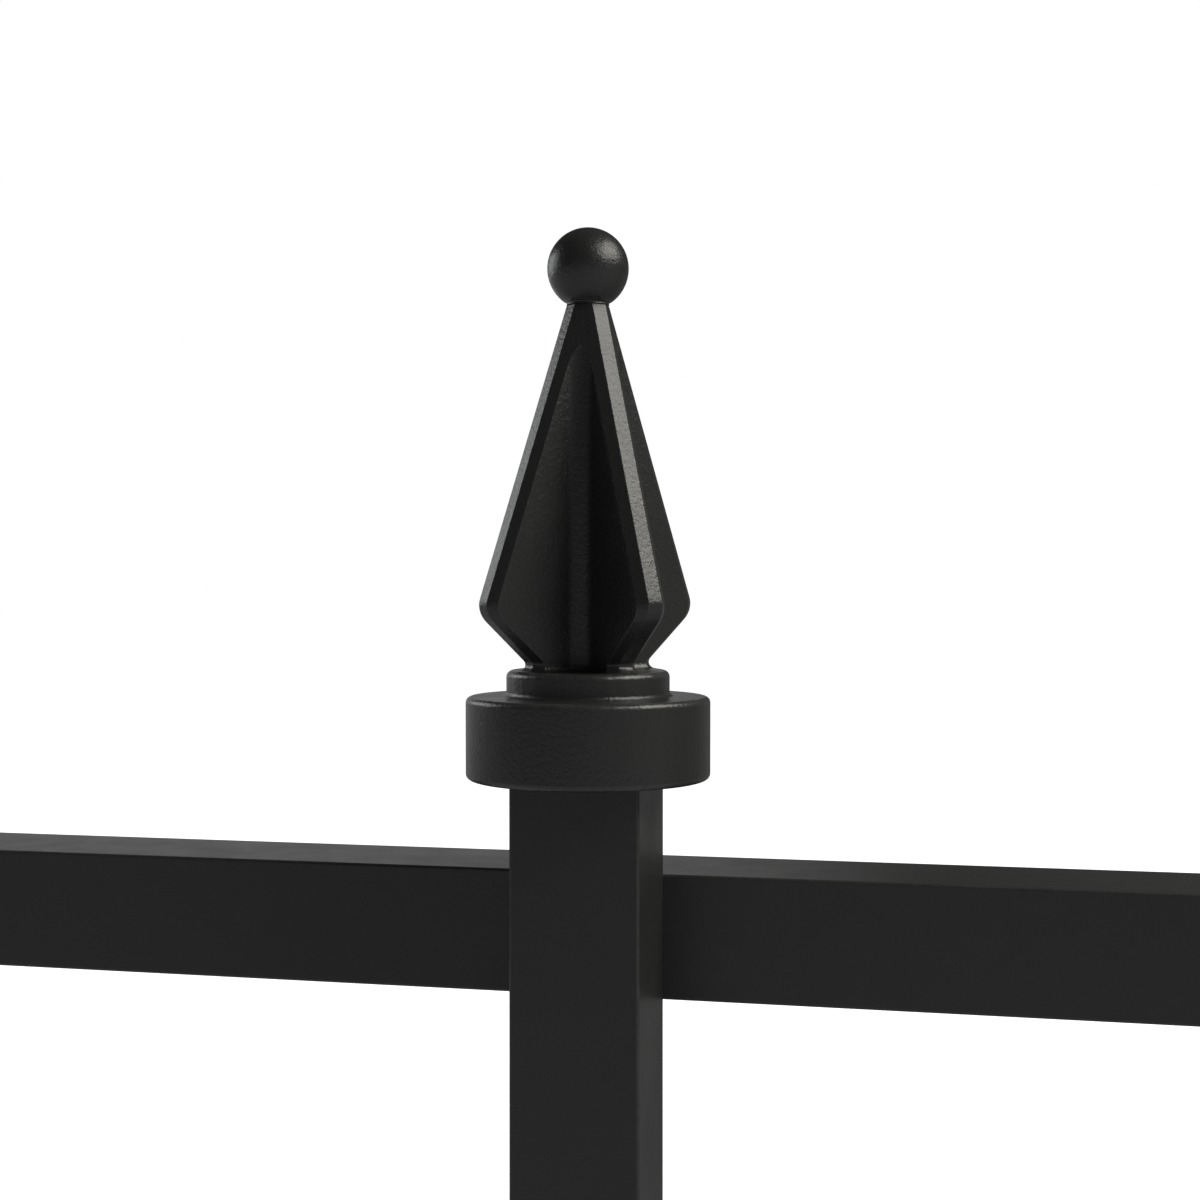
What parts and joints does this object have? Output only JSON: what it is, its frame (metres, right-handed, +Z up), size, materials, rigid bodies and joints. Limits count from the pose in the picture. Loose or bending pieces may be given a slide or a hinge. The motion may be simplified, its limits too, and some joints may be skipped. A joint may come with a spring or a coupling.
{
  "type": "garden obelisk finial on a post with a cross rail",
  "caption": "Four-finned obelisk finial with a ball tip and round collar, on a black square tube post with a straight cross rail screwed behind it.",
  "frame": {"origin": "centre of the post's foot, at the mouth of its threaded bush", "axes": "+Z up the post, +X along the cross rail, and the rail lies on the +Y side of the post"},
  "size_m": [0.32, 0.0655, 0.2286],
  "materials": {
    "coated_casting": "black powder coat, satin, lightly textured",
    "coated_tube": "black powder coat, satin, fine sandy texture",
    "black_plastic": "moulded nylon, matt",
    "black_screw": "black zinc plated steel",
    "zinc_steel": "bright zinc plated steel",
    "brass_bush": "turned brass"
  },
  "bodies": {
    "root": {"ball_tip": "coated_casting", "ball_stud": "zinc_steel", "spire": "coated_casting", "finial_stud": "zinc_steel", "post_collar": "coated_casting", "collar_set_screws": "black_screw", "post_tube": "coated_tube", "top_insert": "black_plastic", "top_bush": "brass_bush", "foot_insert": "black_plastic", "foot_bush": "brass_bush", "rail_tube": "coated_tube", "rail_cap_left": "black_plastic", "rail_cap_right": "black_plastic", "rail_screws": "black_screw", "rail_washers": "black_screw", "crush_sleeves": "zinc_steel", "rivet_nuts": "zinc_steel"}
  },
  "joints": []
}
